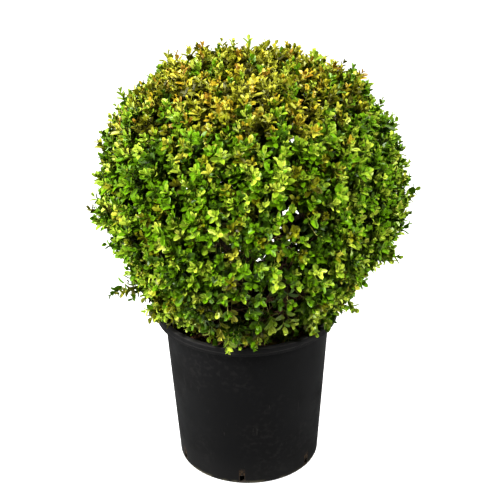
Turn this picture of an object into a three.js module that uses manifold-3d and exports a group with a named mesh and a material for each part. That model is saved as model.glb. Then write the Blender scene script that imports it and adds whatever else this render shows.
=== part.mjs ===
// A clipped box ball in its round nursery pot. Millimetres, +Z up.
// The origin is the centre of the pot's flat underside.
import * as THREE from "three";
import { mergeVertices } from "three/addons/utils/BufferGeometryUtils.js";
import Module from "manifold-3d";

const wasm = await Module();
wasm.setup();

// ---------- Driving dimensions ----------

const clearance = 0.3; // between any two pieces that meet

// The pot: a tapered bucket with a rim band that stands out all round
const potHeight = 280;
const rimRadius = 150;
const rimBand = 13;
const rimWidth = 10.5;
const rimRound = 2.5;
const rimDraft = 1.5; // how far the band's foot draws in
const shoulderRadius = 136; // outside of the wall, just under the rim band
const baseRadius = 117;
const footRadius = 110; // of the flat ring and floor that it stands on
const footRise = 6;
const potWall = 2.5;
const potFloor = 3;
const footLip = 0.4; // how far the wall's foot stands out past the base
const roundSides = 36;
const slotCount = 6;
const slotWidth = 8;
const slotHeight = 13;
const slotLift = 5;
const slotTurn = -96; // degrees, where the first slot stands

// The potting mix, up to a finger's width under the rim
const mixTop = 258;
const mixGap = 1; // from the mix to the pot's wall

// The crown: a clipped ball, fuller in the shoulders than under its widest level
const crownCentre = new THREE.Vector3(9, 0, 471);
const crownRadius = 244;
const crownRise = 227; // from the widest level to the top
const crownDrop = 262; // to where the underside would close
const shoulderPower = 2.35;
const undersidePower = 1.6;
const lowestTilt = 152; // degrees from straight up, where the lowest sprays point
const coreOuter = 0.76; // shares of the crown's reach
const coreInner = 0.53;
const coreLowest = 290; // height of the flat underside of the cores
const stemWell = 46; // radius that the cores leave open round the trunk
const coreGap = 2.5; // from a core to the edge of its own space

// The masses stand in rings: how many, and their tilt and first turn in degrees
const rings = [
  { ring: "top", count: 1, tilt: 0, turn: 0 },
  { ring: "upper", count: 5, tilt: 58, turn: -90 },
  { ring: "lower", count: 5, tilt: 112, turn: -54 },
];

// The limbs
const trunkLength = 140;
const trunkFoot = 12.5;
const trunkTip = 8;
const trunkSides = 10;
const trunkSteps = 12;
const trunkBow = new THREE.Vector2(-3, 2); // how far its middle stands off the pot's axis
const rootFlare = 6.5; // how far the foot spreads beyond the trunk's own taper
const flareShare = 0.16; // share of the trunk's length that flares
const boughSides = 6;
const boughSteps = 6;
const boughRise = 1.15; // how steeply a bough leaves the trunk
const boughLeaving = 0.35; // shares of its span that bend at the trunk and at its mass
const boughArriving = 0.3;
const boughTaper = 0.62; // a bough's tip against its foot
const boughs = {
  top: { foot: 7, height: trunkLength, step: 0 },
  upper: { foot: 5.4, height: 84, step: 9 },
  lower: { foot: 5.8, height: 34, step: 7 },
};
const stemReach = 0.5; // where a bough hands over to its mass's stem
const stemTaper = 0.8;

// The sprays of leaves, larger than life because they are few
const forksPerMass = 5;
const forkReach = 0.64;
const forkSpread = 0.3;
const sprayCount = 89;
const twigFoot = 3.4;
const twigTip = 2.3;
const leafLength = 60;
const leafWidth = 39;
const leafThickness = 1.8;
const leafArch = 3.2;
const leafBroadest = 0.56; // share of its length where a leaf is broadest
const leafRoot = 0.3; // from the twig's axis to the point of a leaf's root
const leafOverhang = 0.62; // of a leaf's length, from a spray's twig tip to the outline
const heelBack = 0.5; // of a leaf's length, from the twig's tip down to its last bend
const upwardPull = 0.22;
const edgeRoom = 0.085; // share of the crown's reach that a spray keeps from its edge
const fullestReach = 1.045;
const rimRoom = 1; // from foliage to the rim that it hangs over
const mouthRoom = 3; // from foliage to the wall and the mix inside the rim

// Two crossed pairs and a last leaf: how far back on the twig in leaf lengths,
// the lean off the twig and the turn round it in degrees, and the size
const sprayLeaves = [
  { back: 0.36, lean: 62, turn: 0, size: 1 },
  { back: 0.36, lean: 62, turn: 180, size: 1 },
  { back: 0.14, lean: 42, turn: 90, size: 0.94 },
  { back: 0.14, lean: 42, turn: 270, size: 0.94 },
  { back: 0.05, lean: 8, turn: 30, size: 0.76 },
];
const smallestLeaf = 0.88;
const leafSpread = 0.24; // share of its size that a leaf may have over the smallest
const leanSpread = 14; // degrees

// How a leaf that doesn't fit is turned and leant, in radians, before it is skipped
const turnTries = [0, 0.35, -0.35, 0.7, -0.7];
const leanTries = [0, -0.3, -0.6];

const seed = 2031;

const degrees = Math.PI / 180;
const goldenAngle = Math.PI * (3 - Math.sqrt(5));
const up = new THREE.Vector3(0, 0, 1);

// ---------- Helpers ----------

// Repeatable random numbers from 0 to 1
function seeded(seed) {
  let state = seed;
  return () => {
    state = (state * 48271) % 2147483647;
    return state / 2147483647;
  };
}

// A closed three.js geometry as a solid that can be joined and cut
function solid(geometry) {
  const bare = new THREE.BufferGeometry();
  bare.setAttribute("position", geometry.getAttribute("position"));
  if (geometry.index) bare.setIndex(geometry.index);
  const merged = mergeVertices(bare, 1e-3);
  return new wasm.Manifold(
    new wasm.Mesh({
      numProp: 3,
      vertProperties: merged.getAttribute("position").array,
      triVerts: new Uint32Array(merged.index.array),
    }),
  );
}

function namedMesh(name, shape, material) {
  const { vertProperties, triVerts } = shape.getMesh();
  const geometry = new THREE.BufferGeometry();
  geometry.setAttribute("position", new THREE.BufferAttribute(vertProperties, 3));
  geometry.setIndex(new THREE.BufferAttribute(triVerts, 1));
  geometry.computeVertexNormals();
  const mesh = new THREE.Mesh(geometry, material);
  mesh.name = name;
  return mesh;
}

// A profile of radius and height turned round the Z axis
function turned(profile, sides = roundSides) {
  return solid(new THREE.LatheGeometry(profile, sides).rotateX(Math.PI / 2));
}

// A direction from its tilt off straight up and its turn round Z, in radians
function direction(tilt, turn) {
  return new THREE.Vector3(
    Math.sin(tilt) * Math.cos(turn),
    Math.sin(tilt) * Math.sin(turn),
    Math.cos(tilt),
  );
}

// A round limb along a curve; radiusAt gives its radius for each share of its length
function limb(curve, radiusAt, sides, steps) {
  const geometry = new THREE.CylinderGeometry(1, 1, 1, sides, steps);
  const frames = curve.computeFrenetFrames(steps);
  const position = geometry.getAttribute("position");
  for (let i = 0; i < position.count; i++) {
    const share = THREE.MathUtils.clamp(position.getY(i) + 0.5, 0, 1);
    const ring = Math.round(share * steps);
    const radius = radiusAt(share);
    const point = curve
      .getPointAt(share)
      .addScaledVector(frames.binormals[ring], position.getX(i) * radius)
      .addScaledVector(frames.normals[ring], position.getZ(i) * radius);
    position.setXYZ(i, point.x, point.y, point.z);
  }
  return solid(geometry);
}

function taper(foot, tip) {
  return (share) => foot + (tip - foot) * share;
}

// ---------- Pot and potting mix ----------

function buildPot() {
  const bandFoot = potHeight - rimBand;
  const rimInner = rimRadius - rimWidth;
  const profile = new THREE.Path()
    .moveTo(0, 0)
    .lineTo(footRadius, 0)
    .quadraticCurveTo(baseRadius, 0, baseRadius + footLip, footRise)
    .lineTo(shoulderRadius, bandFoot - rimDraft)
    .lineTo(rimRadius - rimDraft, bandFoot)
    .lineTo(rimRadius, potHeight - rimRound)
    .quadraticCurveTo(rimRadius, potHeight, rimRadius - rimRound, potHeight)
    .lineTo(rimInner + rimRound, potHeight)
    .quadraticCurveTo(rimInner, potHeight, rimInner - footLip, potHeight - rimRound)
    .lineTo(shoulderRadius - potWall, bandFoot - potWall)
    .lineTo(baseRadius - potWall + footLip, footRise + potFloor)
    .quadraticCurveTo(baseRadius - potWall, potFloor, footRadius - potWall, potFloor)
    .lineTo(0, potFloor);
  let pot = turned(profile.getPoints(2));
  for (let i = 0; i < slotCount; i++) {
    const slot = new THREE.BoxGeometry(4 * footRise, slotWidth, slotHeight)
      .translate(baseRadius, 0, slotLift + slotHeight / 2)
      .rotateZ((slotTurn + (360 / slotCount) * i) * degrees);
    pot = pot.subtract(solid(slot));
  }
  return pot;
}

function buildPottingMix() {
  const wallTop = shoulderRadius - potWall;
  const wallFoot = baseRadius - potWall;
  const rise = (mixTop - footRise) / (potHeight - rimBand - footRise);
  const topRadius = wallFoot + (wallTop - wallFoot) * rise;
  const profile = [
    new THREE.Vector2(0, potFloor + clearance),
    new THREE.Vector2(footRadius - potWall - 2 * mixGap, potFloor + clearance),
    new THREE.Vector2(wallFoot - mixGap, potFloor + footRise),
    new THREE.Vector2(topRadius - mixGap, mixTop),
    new THREE.Vector2(0, mixTop),
  ];
  return turned(profile);
}

// ---------- Crown: its outline and the space of each mass ----------

// Distance from the crown's centre to its clipped outline, in a direction
function reach(toward) {
  const across = Math.hypot(toward.x, toward.y);
  const upper = toward.z > 0;
  const power = upper ? shoulderPower : undersidePower;
  const height = upper ? crownRise : crownDrop;
  const share = (across / crownRadius) ** power + (Math.abs(toward.z) / height) ** power;
  return share ** (-1 / power);
}

function atReach(toward, share) {
  return toward.clone().multiplyScalar(reach(toward) * share);
}

// The outline as a turned solid, scaled about the crown's centre
function outlineSolid(share) {
  const rows = 10;
  const sides = 20;
  const profile = [];
  for (let i = 0; i <= rows; i++) {
    const toward = direction(Math.PI * (1 - i / rows), 0);
    const point = atReach(toward, share);
    profile.push(new THREE.Vector2(i % rows ? point.x : 0, point.z));
  }
  return turned(profile, sides);
}

const cells = rings.flatMap(({ ring, count, tilt, turn }) =>
  Array.from({ length: count }, (_, i) => ({
    name: count > 1 ? `${ring}_${i + 1}` : ring,
    ring,
    index: i,
    toward: direction(tilt * degrees, (turn + (360 / count) * i) * degrees),
  })),
);

// A mass's space is every direction nearer to its own than to another's
for (const cell of cells) {
  cell.walls = cells
    .filter((other) => other !== cell)
    .map((other) => cell.toward.clone().sub(other.toward).normalize());
}

function insideCell(cell, point, gap) {
  return cell.walls.every((wall) => wall.dot(point) > gap);
}

function nearestCell(toward) {
  return cells.reduce((best, cell) =>
    cell.toward.dot(toward) > best.toward.dot(toward) ? cell : best,
  );
}

// ---------- Trunk and boughs ----------

const foot = new THREE.Vector3(0, 0, mixTop + clearance);
const trunkTop = new THREE.Vector3(crownCentre.x, 0, foot.z + trunkLength);
const trunkCurve = new THREE.QuadraticBezierCurve3(
  foot,
  new THREE.Vector3(trunkBow.x, trunkBow.y, foot.z + trunkLength / 2),
  trunkTop,
);

function trunkRadius(share) {
  const flare = rootFlare * Math.max(0, 1 - share / flareShare) ** 2;
  return trunkFoot + (trunkTip - trunkFoot) * share + flare;
}

function buildTrunk(extra = 0) {
  const radiusAt = (share) => trunkRadius(share) + extra;
  const trunk = limb(trunkCurve, radiusAt, trunkSides, trunkSteps);
  // The flat cut at the potting mix
  return trunk.trimByPlane([0, 0, 1], foot.z - extra);
}

// The biggest of the pieces that a cut has left
function largest(shape) {
  return shape
    .decompose()
    .reduce((best, piece) => (piece.volume() > best.volume() ? piece : best));
}

function boughCurve(cell) {
  const { height, step } = boughs[cell.ring];
  const start = trunkCurve.getPointAt(
    Math.min(1, (height + step * cell.index) / trunkLength),
  );
  const end = atReach(cell.toward, stemReach).add(crownCentre);
  const span = start.distanceTo(end);
  if (cell.ring === "top") start.z += clearance;
  const leaving = cell.toward.clone().setZ(0).addScaledVector(up, boughRise).normalize();
  return new THREE.CubicBezierCurve3(
    start,
    start.clone().addScaledVector(leaving, span * boughLeaving),
    end.clone().addScaledVector(cell.toward, -span * boughArriving),
    end,
  );
}

function buildBough(cell) {
  const thick = boughs[cell.ring].foot;
  const radiusAt = taper(thick, thick * boughTaper);
  const bough = limb(boughCurve(cell), radiusAt, boughSides, boughSteps);
  return largest(bough.subtract(buildTrunk(clearance)));
}

// ---------- Foliage ----------

// A blade of eight faces, its root at the origin, growing along +X with its face to +Z
function leafGeometry(length, width) {
  const blade = new THREE.OctahedronGeometry(1);
  const position = blade.getAttribute("position");
  for (let i = 0; i < position.count; i++) {
    const along = position.getX(i);
    const across = position.getY(i);
    const face = position.getZ(i);
    const broadest = leafBroadest * (Math.abs(across) + Math.abs(face));
    position.setXYZ(
      i,
      (Math.max(along, 0) + broadest) * length,
      (across * width) / 2,
      (face * leafThickness) / 2 + Math.abs(face) * leafArch,
    );
  }
  return blade;
}

// Where a leaf of a spray stands: its root, how far it leans off the twig, its turn
function placedLeaf(root, twig, side, lean, turn, length) {
  const out = side.clone().applyAxisAngle(twig, turn);
  const grow = twig
    .clone()
    .multiplyScalar(Math.cos(lean))
    .addScaledVector(out, Math.sin(lean));
  const face = twig
    .clone()
    .multiplyScalar(Math.sin(lean))
    .addScaledVector(out, -Math.cos(lean));
  const across = face.clone().cross(grow);
  const place = new THREE.Matrix4().makeBasis(grow, across, face);
  place.setPosition(root.clone().addScaledVector(out, leafRoot));
  return leafGeometry(length, leafWidth * (length / leafLength)).applyMatrix4(place);
}

// The foliage stays in its mass's space, in the crown's reach and off the pot
function leafFits(cell, geometry) {
  const position = geometry.getAttribute("position");
  const point = new THREE.Vector3();
  let highest = -Infinity;
  let lowest = Infinity;
  let farthest = 0;
  for (let i = 0; i < position.count; i++) {
    point.fromBufferAttribute(position, i);
    const toward = point.clone().normalize();
    if (!insideCell(cell, point, clearance)) return false;
    if (point.length() > reach(toward) * fullestReach) return false;
    const height = point.z + crownCentre.z;
    highest = Math.max(highest, height);
    lowest = Math.min(lowest, height);
    farthest = Math.max(farthest, Math.hypot(point.x + crownCentre.x, point.y));
  }
  const aboveRim = lowest > potHeight + rimRoom;
  const insideWall = farthest < shoulderRadius - potWall - mouthRoom;
  return aboveRim || (insideWall && lowest > mixTop + mouthRoom);
}

const leafTries = turnTries.flatMap((turn) => leanTries.map((lean) => ({ turn, lean })));

// A direction near its mass's edge is drawn in, so that its spray has room
function drawnIn(cell, toward) {
  const drawn = toward.clone();
  for (const wall of cell.walls) {
    const lacking = edgeRoom - wall.dot(drawn);
    if (lacking > 0) drawn.addScaledVector(wall, lacking);
  }
  return drawn.normalize();
}

// One spray: a twig from its fork to the outline, and its leaves
function sprayShapes(cell, fork, toward, placed, random) {
  const tip = toward.clone().multiplyScalar(reach(toward) - leafLength * leafOverhang);
  const twig = toward.clone().addScaledVector(up, upwardPull).normalize();
  const heel = tip.clone().addScaledVector(twig, -leafLength * heelBack);
  if (!insideCell(cell, tip, twigTip * 2)) return [];
  const curve = new THREE.CatmullRomCurve3([fork, heel, tip]);
  const shapes = [limb(curve, taper(twigFoot, twigTip), 3, 2)];
  const side = new THREE.Vector3(0, 1, 0).cross(twig).normalize();
  const startTurn = random() * Math.PI;
  const ownLeaves = [];
  for (const { back, lean, turn, size } of sprayLeaves) {
    const root = tip.clone().addScaledVector(twig, -leafLength * back);
    const length = leafLength * size * (smallestLeaf + leafSpread * random());
    const leaning = (lean + leanSpread * (random() - 0.5)) * degrees;
    const turning = startTurn + turn * degrees;
    for (const change of leafTries) {
      const leaf = placedLeaf(
        root, twig, side, leaning + change.lean, turning + change.turn, length,
      );
      if (!leafFits(cell, leaf)) continue;
      const blade = solid(leaf);
      if (placed.some((other) => other.intersect(blade).volume() > 0)) continue;
      ownLeaves.push(blade);
      break;
    }
  }
  placed.push(...ownLeaves);
  return ownLeaves.length ? [...shapes, ...ownLeaves] : [];
}

// Directions spread evenly over the crown, from its top to its lowest sprays
function evenDirections(count, random) {
  const spread = 1 - Math.cos(lowestTilt * degrees);
  return Array.from({ length: count }, (_, i) => {
    const tilt = Math.acos(1 - ((i + 0.5) / count) * spread);
    const turn = i * goldenAngle + 0.5 * (random() - 0.5);
    return direction(tilt, turn);
  });
}

function buildCore(cell, shell) {
  const solidCore = cell.walls.reduce(
    (core, wall) => core.trimByPlane(wall.toArray(), coreGap),
    shell,
  );
  return largest(solidCore);
}

function buildShell() {
  const well = new THREE.CylinderGeometry(stemWell, stemWell, crownDrop, 16)
    .rotateX(Math.PI / 2)
    .translate(0, 0, -crownDrop / 2);
  return outlineSolid(coreOuter)
    .subtract(outlineSolid(coreInner))
    .subtract(solid(well))
    .trimByPlane([0, 0, 1], coreLowest - crownCentre.z);
}

// The short limb that carries a mass on from its bough's tip, and its forks
function massStem(cell) {
  const start = atReach(cell.toward, stemReach).addScaledVector(cell.toward, clearance);
  const end = atReach(cell.toward, forkReach);
  const thick = boughs[cell.ring].foot * boughTaper;
  return limb(new THREE.LineCurve3(start, end), taper(thick, thick * stemTaper), boughSides, 1);
}

function forksOf(cell) {
  const side = new THREE.Vector3(0, 1, 0).cross(cell.toward).normalize();
  return Array.from({ length: forksPerMass }, (_, i) => {
    const turn = (i / forksPerMass) * Math.PI * 2;
    const toward = cell.toward
      .clone()
      .addScaledVector(side.clone().applyAxisAngle(cell.toward, turn), forkSpread)
      .normalize();
    return atReach(toward, forkReach);
  });
}

const random = seeded(seed);
const sprayDirections = evenDirections(sprayCount, random);

function buildMass(cell, shell) {
  const forks = forksOf(cell);
  const shapes = [buildCore(cell, shell), massStem(cell)];
  const placed = [];
  for (const even of sprayDirections.filter((d) => nearestCell(d) === cell)) {
    const toward = drawnIn(cell, even);
    const fork = forks.reduce((best, point) =>
      point.dot(toward) > best.dot(toward) ? point : best,
    );
    shapes.push(...sprayShapes(cell, fork, toward, placed, random));
  }
  return largest(wasm.Manifold.union(shapes));
}

// ---------- Materials and assembly ----------

function finish(color, roughness) {
  return new THREE.MeshStandardMaterial({ color, roughness, metalness: 0 });
}

const potPlastic = finish(0x1c1c1e, 0.55);
const mixFinish = finish(0x33241a, 0.95);
const bark = finish(0x6b5a40, 0.85);
const leafGreen = finish(0x6f9a24, 0.5);

const plant = new THREE.Group();
plant.add(namedMesh("pot", buildPot(), potPlastic));
plant.add(namedMesh("potting_mix", buildPottingMix(), mixFinish));
plant.add(namedMesh("trunk", buildTrunk(), bark));
for (const cell of cells) {
  plant.add(namedMesh(`bough_${cell.name}`, buildBough(cell), bark));
}

const crown = new THREE.Group();
crown.position.copy(crownCentre);
const shell = buildShell();
for (const cell of cells) {
  crown.add(namedMesh(`foliage_${cell.name}`, buildMass(cell, shell), leafGreen));
}
plant.add(crown);

export default plant;
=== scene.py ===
# The finished looks of a clipped box ball in its nursery pot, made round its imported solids.
# Metres, +Z up, the origin under the middle of the pot.
import math
import bpy
import numpy as np
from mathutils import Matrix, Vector, noise


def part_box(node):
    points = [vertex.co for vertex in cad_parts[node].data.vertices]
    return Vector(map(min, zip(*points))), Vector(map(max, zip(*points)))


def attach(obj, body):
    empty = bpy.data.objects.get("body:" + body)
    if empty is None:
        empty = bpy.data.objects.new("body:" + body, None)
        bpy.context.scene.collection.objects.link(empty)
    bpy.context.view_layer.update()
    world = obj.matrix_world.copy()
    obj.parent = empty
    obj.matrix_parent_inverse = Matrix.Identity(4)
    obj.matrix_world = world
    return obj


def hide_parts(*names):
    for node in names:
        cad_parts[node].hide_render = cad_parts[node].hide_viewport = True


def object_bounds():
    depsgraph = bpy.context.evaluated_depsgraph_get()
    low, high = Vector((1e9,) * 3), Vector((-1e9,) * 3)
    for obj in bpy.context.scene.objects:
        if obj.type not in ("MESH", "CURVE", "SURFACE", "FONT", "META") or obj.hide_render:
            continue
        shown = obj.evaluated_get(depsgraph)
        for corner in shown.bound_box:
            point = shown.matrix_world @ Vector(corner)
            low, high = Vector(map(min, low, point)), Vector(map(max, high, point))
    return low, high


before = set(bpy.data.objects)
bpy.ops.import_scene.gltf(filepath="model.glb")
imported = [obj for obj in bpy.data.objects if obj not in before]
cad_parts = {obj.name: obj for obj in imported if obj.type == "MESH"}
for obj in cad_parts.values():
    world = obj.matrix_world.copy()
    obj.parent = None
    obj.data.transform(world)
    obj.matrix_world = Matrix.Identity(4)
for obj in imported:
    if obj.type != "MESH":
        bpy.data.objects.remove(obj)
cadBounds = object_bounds()

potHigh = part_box("pot")[1]
mixLow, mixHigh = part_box("potting_mix")
goldenAngle = math.pi * (3 - math.sqrt(5))


# Camera, floor and light

view = {
    "distance": 2.6,
    "elevation": 27.25,  # degrees above level
    "roll": -0.85,
    "lens": 115.15,
    "aim": (0.0065, 0.0, 0.3793),
    "exposure": 0.10,
    "gamma": 0.78,
}

studio = {
    "floorSize": 14.0,
    "floorColour": (0.50, 0.50, 0.505),
    "floorRoughness": 0.6,
    "floorGlow": 0.62,  # seen by the camera, and lighting nothing
    "farGlow": 1.0,  # the same, where the softboxes hardly reach
    "farFrom": 1.6,
    "farTo": 4.5,
    "backdrop": 1.0,  # how bright the surroundings look
    "surroundLight": 0.085,  # how much light they give
    "surroundTint": (0.94, 1.0, 0.68),
    "lightsAim": (0, 0, 0.4),
    "key": {"at": (-1.7, -1.9, 3.2), "size": 0.5, "power": 204.0},
    "side": {"at": (-2.6, -0.8, 1.3), "size": 0.8, "power": 122.0},
    "fill": {"at": (2.3, -1.2, 2.5), "size": 0.8, "power": 168.0},
    "back": {"at": (0.3, 1.4, 3.2), "size": 1.0, "power": 40.0},
}


def addObject(name, data):
    made = bpy.data.objects.new(name, data)
    bpy.context.scene.collection.objects.link(made)
    return made


def addCamera():
    elevation = math.radians(view["elevation"])
    roll = math.radians(view["roll"])
    back = Vector((0, -math.cos(elevation), math.sin(elevation)))
    right = Vector((1, 0, 0))
    across = right * math.cos(roll) + back.cross(right) * math.sin(roll)
    camera = addObject("camera", bpy.data.cameras.new("camera"))
    camera.data.lens = view["lens"]
    camera.data.sensor_width = 36.0
    stand = camera.matrix_world.copy()
    for column, axis in enumerate((across, back.cross(across), back)):
        stand.col[column][:3] = axis
    stand.col[3][:3] = Vector(view["aim"]) + back * view["distance"]
    camera.matrix_world = stand
    bpy.context.scene.camera = camera
    tone = bpy.context.scene.view_settings
    tone.view_transform = "Standard"
    tone.exposure = view["exposure"]
    tone.gamma = view["gamma"]


def addSoftbox(name):
    values = studio[name]
    lamp = addObject(name, bpy.data.lights.new(name, "AREA"))
    lamp.data.shape = "DISK"
    lamp.data.size = values["size"]
    lamp.data.energy = values["power"]
    lamp.location = values["at"]
    toPlant = Vector(studio["lightsAim"]) - lamp.location
    lamp.rotation_euler = toPlant.to_track_quat("-Z", "Y").to_euler()


def addSurroundings():
    world = bpy.data.worlds.new("surroundings")
    world.use_nodes = True
    tree = world.node_tree
    background = tree.nodes["Background"]
    seen = addNode(tree, "ShaderNodeLightPath").outputs["Is Camera Ray"]
    tree.links.new(blend(tree, seen, studio["surroundTint"], (1, 1, 1)), background.inputs["Color"])
    strength = between(tree, seen, studio["surroundLight"], studio["backdrop"])
    tree.links.new(strength, background.inputs["Strength"])
    bpy.context.scene.world = world


def addFloor():
    half = studio["floorSize"] / 2
    corners = [(-half, -half, 0), (half, -half, 0), (half, half, 0), (-half, half, 0)]
    floor = meshObject("floor", corners, [[[0, 1, 2, 3]]])
    material, tree, shader = newMaterial("pale_floor", studio["floorRoughness"])
    shader.inputs["Base Color"].default_value = (*studio["floorColour"], 1)
    seen = addNode(tree, "ShaderNodeLightPath").outputs["Is Camera Ray"]
    tree.links.new(seen, shader.inputs["Emission Strength"])
    far = effect(tree, "farAway", Near=studio["farFrom"], Far=studio["farTo"])
    glow = blend(tree, far, [studio["floorGlow"]] * 3, [studio["farGlow"]] * 3)
    tree.links.new(glow, shader.inputs["Emission Color"])
    floor.data.materials.append(material)


# Meshes from arrays


def meshObject(name, vertices, faceSets, tints=None, smooth=True):
    vertices = np.asarray(vertices, dtype=np.float32).reshape(-1, 3)
    faceSets = [np.asarray(faces, dtype=np.int32) for faces in faceSets]
    corners = np.concatenate([faces.ravel() for faces in faceSets])
    sizes = np.concatenate([np.full(len(faces), faces.shape[1]) for faces in faceSets])
    starts = np.cumsum(sizes) - sizes
    mesh = bpy.data.meshes.new(name)
    mesh.vertices.add(len(vertices))
    mesh.vertices.foreach_set("co", vertices.ravel())
    mesh.loops.add(len(corners))
    mesh.loops.foreach_set("vertex_index", corners)
    mesh.polygons.add(len(sizes))
    mesh.polygons.foreach_set("loop_start", starts.astype(np.int32))
    mesh.polygons.foreach_set("use_smooth", np.full(len(sizes), smooth))
    if tints is not None:
        mesh.polygons.foreach_set("material_index", np.asarray(tints, dtype=np.int32))
    mesh.update(calc_edges=True)
    return addObject(name, mesh)


def repeated(faces, count, points):
    # The same faces for each of many alike shapes that have so many points
    return (faces[None] + np.arange(count)[:, None, None] * points).reshape(-1, faces.shape[1])


def place(piece, materials, nodes=()):
    for material in materials:
        piece.data.materials.append(material)
    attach(piece, "root")
    if nodes:
        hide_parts(*nodes)


def unit(vectors):
    return vectors / np.linalg.norm(vectors, axis=-1, keepdims=True)


def around(turns, side, other):
    # Directions that stand off an axis, at angles from one side of it towards the other
    return np.cos(turns)[..., None] * side + np.sin(turns)[..., None] * other


def ringQuads(gaps, sides):
    # The faces that join rings of points, each ring to the next
    here = np.arange(sides)
    after = (here + 1) % sides
    rows = np.arange(gaps)[:, None] * sides
    return np.stack([rows + here, rows + after, rows + sides + after, rows + sides + here], -1).reshape(-1, 4)


def cappedFaces(rings, sides):
    # The same with both ends closed, to two points that come after the rings
    here = np.arange(sides)
    after = (here + 1) % sides
    last = (rings - 1) * sides
    first = np.stack([np.full(sides, rings * sides), after, here], -1)
    final = np.stack([np.full(sides, rings * sides + 1), last + here, last + after], -1)
    return [ringQuads(rings - 1, sides), first, final]


def lathe(profile, segments):
    # A closed profile of (radius, height) that starts and ends on the axis
    turns = np.arange(segments) * 2 * math.pi / segments
    rings = np.array(profile[1:-1])
    circle = np.stack([np.cos(turns), np.sin(turns)], -1)
    heights = np.broadcast_to(rings[:, None, 1:], (len(rings), segments, 1))
    body = np.concatenate([rings[:, None, :1] * circle, heights], -1).reshape(-1, 3)
    ends = [(0, 0, profile[0][1]), (0, 0, profile[-1][1])]
    return np.concatenate([body, ends]), cappedFaces(len(rings), segments)


def alongBend(share, start, bend, end):
    return (1 - share) ** 2 * start + 2 * share * (1 - share) * bend + share**2 * end


def tubes(start, bend, end, foot, tip, sides, steps):
    # Many bent twigs at once: rows of start, bend and end points, and the radius at each end
    share = np.linspace(0, 1, steps + 1)[None, :, None]
    path = alongBend(share, start[:, None], bend[:, None], end[:, None])
    along = unit(end - start)
    side = unit(np.cross(along, np.where(np.abs(along[:, 2:]) < 0.8, [[0, 0, 1.0]], [[1.0, 0, 0]])))
    turns = np.arange(sides) * 2 * math.pi / sides
    spokes = around(turns[None], side[:, None], np.cross(along, side)[:, None])
    thick = foot * (1 - share) + tip * share
    vertices = path[:, :, None] + thick[..., None] * spokes[:, None]
    return vertices.reshape(-1, 3), repeated(ringQuads(steps, sides), len(start), sides * (steps + 1))


# Materials: shared effects first, each a group that puts out a mask or a normal


def addNode(tree, kind, inputs=None, **settings):
    made = tree.nodes.new(kind)
    for label, value in settings.items():
        setattr(made, label, value)
    for label, value in (inputs or {}).items():
        if isinstance(value, bpy.types.NodeSocket):
            tree.links.new(value, made.inputs[label])
        else:
            made.inputs[label].default_value = value
    return made


def calculated(tree, operation, *values, clamp=False):
    inputs = dict(enumerate(values))
    return addNode(tree, "ShaderNodeMath", inputs, operation=operation, use_clamp=clamp).outputs[0]


def vectorResult(tree, operation, *vectors, output="Vector"):
    inputs = dict(enumerate(vectors))
    return addNode(tree, "ShaderNodeVectorMath", inputs, operation=operation).outputs[output]


def objectSpace(tree):
    return addNode(tree, "ShaderNodeTexCoord").outputs["Object"]


def drawnOut(tree, stretch):
    # Object space in which a pattern is drawn out along the height
    squeeze = addNode(tree, "ShaderNodeCombineXYZ", {"X": 1.0, "Y": 1.0, "Z": stretch}).outputs[0]
    return vectorResult(tree, "MULTIPLY", objectSpace(tree), squeeze)


def parts(tree, vector):
    return addNode(tree, "ShaderNodeSeparateXYZ", {0: vector}).outputs


def cloud(tree, where, scale, detail):
    return addNode(tree, "ShaderNodeTexNoise", {"Vector": where, "Scale": scale, "Detail": detail}).outputs[0]


def ramp(tree, value, low, high, start=0.0, end=1.0, kind="SMOOTHSTEP"):
    inputs = {"Value": value, "From Min": low, "From Max": high, "To Min": start, "To Max": end}
    return addNode(tree, "ShaderNodeMapRange", inputs, interpolation_type=kind).outputs[0]


def blotches(tree, given):
    speckle = cloud(tree, objectSpace(tree), given["Scale"], given["Detail"])
    return ramp(tree, speckle, given["From"], given["To"])


def streaks(tree, given):
    speckle = cloud(tree, drawnOut(tree, given["Stretch"]), given["Scale"], 5.0)
    return ramp(tree, speckle, given["From"], given["To"])


def heightFade(tree, given):
    return ramp(tree, parts(tree, objectSpace(tree))["Z"], given["Full"], given["Gone"], 1.0, 0.0)


def farAway(tree, given):
    distance = vectorResult(tree, "LENGTH", objectSpace(tree), output="Value")
    return ramp(tree, distance, given["Near"], given["Far"])


def dust(tree, given):
    # Only on what faces up
    normal = addNode(tree, "ShaderNodeNewGeometry").outputs["Normal"]
    facing = ramp(tree, parts(tree, normal)["Z"], given["From"], given["To"], kind="LINEAR")
    patchy = calculated(tree, "MULTIPLY", facing, cloud(tree, objectSpace(tree), given["Scale"], 6.0))
    return calculated(tree, "MULTIPLY", patchy, given["Amount"])


def edgeWear(tree, given):
    normal = addNode(tree, "ShaderNodeNewGeometry").outputs["Normal"]
    rounded = addNode(tree, "ShaderNodeBevel", {"Radius": given["Radius"]}, samples=6).outputs[0]
    likeness = vectorResult(tree, "DOT_PRODUCT", normal, rounded, output="Value")
    edge = calculated(tree, "SUBTRACT", 1.0, likeness)
    broken = calculated(tree, "MULTIPLY", edge, cloud(tree, objectSpace(tree), given["Scale"], 5.0))
    return calculated(tree, "MULTIPLY", broken, given["Amount"], clamp=True)


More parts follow.
